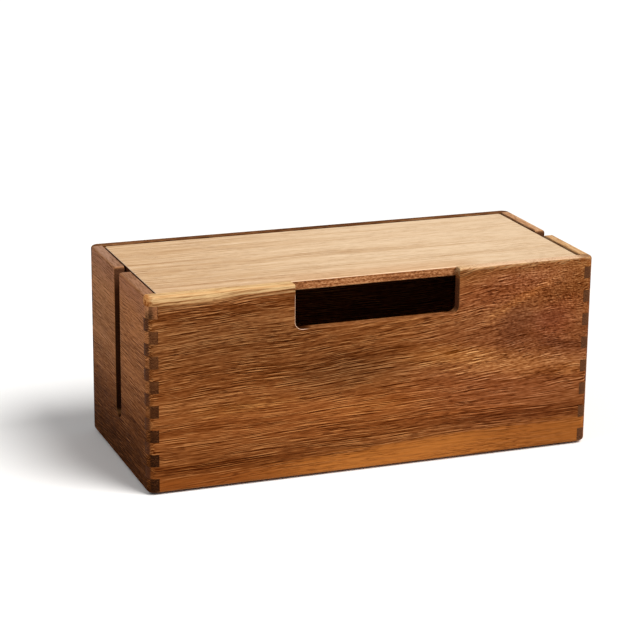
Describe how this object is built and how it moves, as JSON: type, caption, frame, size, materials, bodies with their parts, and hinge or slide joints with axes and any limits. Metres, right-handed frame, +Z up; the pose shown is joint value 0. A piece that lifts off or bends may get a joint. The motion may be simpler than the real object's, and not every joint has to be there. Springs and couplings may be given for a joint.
{
  "type": "cable management box",
  "caption": "Finger-jointed hardwood box with a loose inset lid, a wide front notch for charging leads and a narrow cable slot in each end, on rubber feet.",
  "frame": {"origin": "centre of the footprint, on the surface that the four feet stand on", "axes": "+X along the length to the right as seen from the notched front, +Y from the front to the back, +Z up"},
  "size_m": [0.305, 0.135, 0.1295],
  "materials": {
    "wall_wood": "oiled acacia heartwood, satin, grain along the length",
    "end_wood": "oiled darker acacia heartwood, satin, grain along the depth",
    "lid_wood": "oiled pale acacia sapwood, satin, fine straight grain along the length",
    "bottom_wood": "sanded acacia board, matt",
    "post_wood": "sanded acacia, grain upright",
    "foot_rubber": "matt black rubber"
  },
  "bodies": {
    "box": {"front_panel": "wall_wood", "back_panel": "wall_wood", "left_end_panel": "end_wood", "right_end_panel": "end_wood", "bottom_panel": "bottom_wood", "corner_post_front_left": "post_wood", "corner_post_front_right": "post_wood", "corner_post_back_left": "post_wood", "corner_post_back_right": "post_wood", "foot_front_left": "foot_rubber", "foot_front_right": "foot_rubber", "foot_back_left": "foot_rubber", "foot_back_right": "foot_rubber"},
    "lid": {"lid_board": "lid_wood"}
  },
  "joints": [
    {"name": "lid_lift", "type": "slide", "parent": "box", "child": "lid", "axis": [0, 0, 1], "range_m": [0, 0.12]}
  ]
}
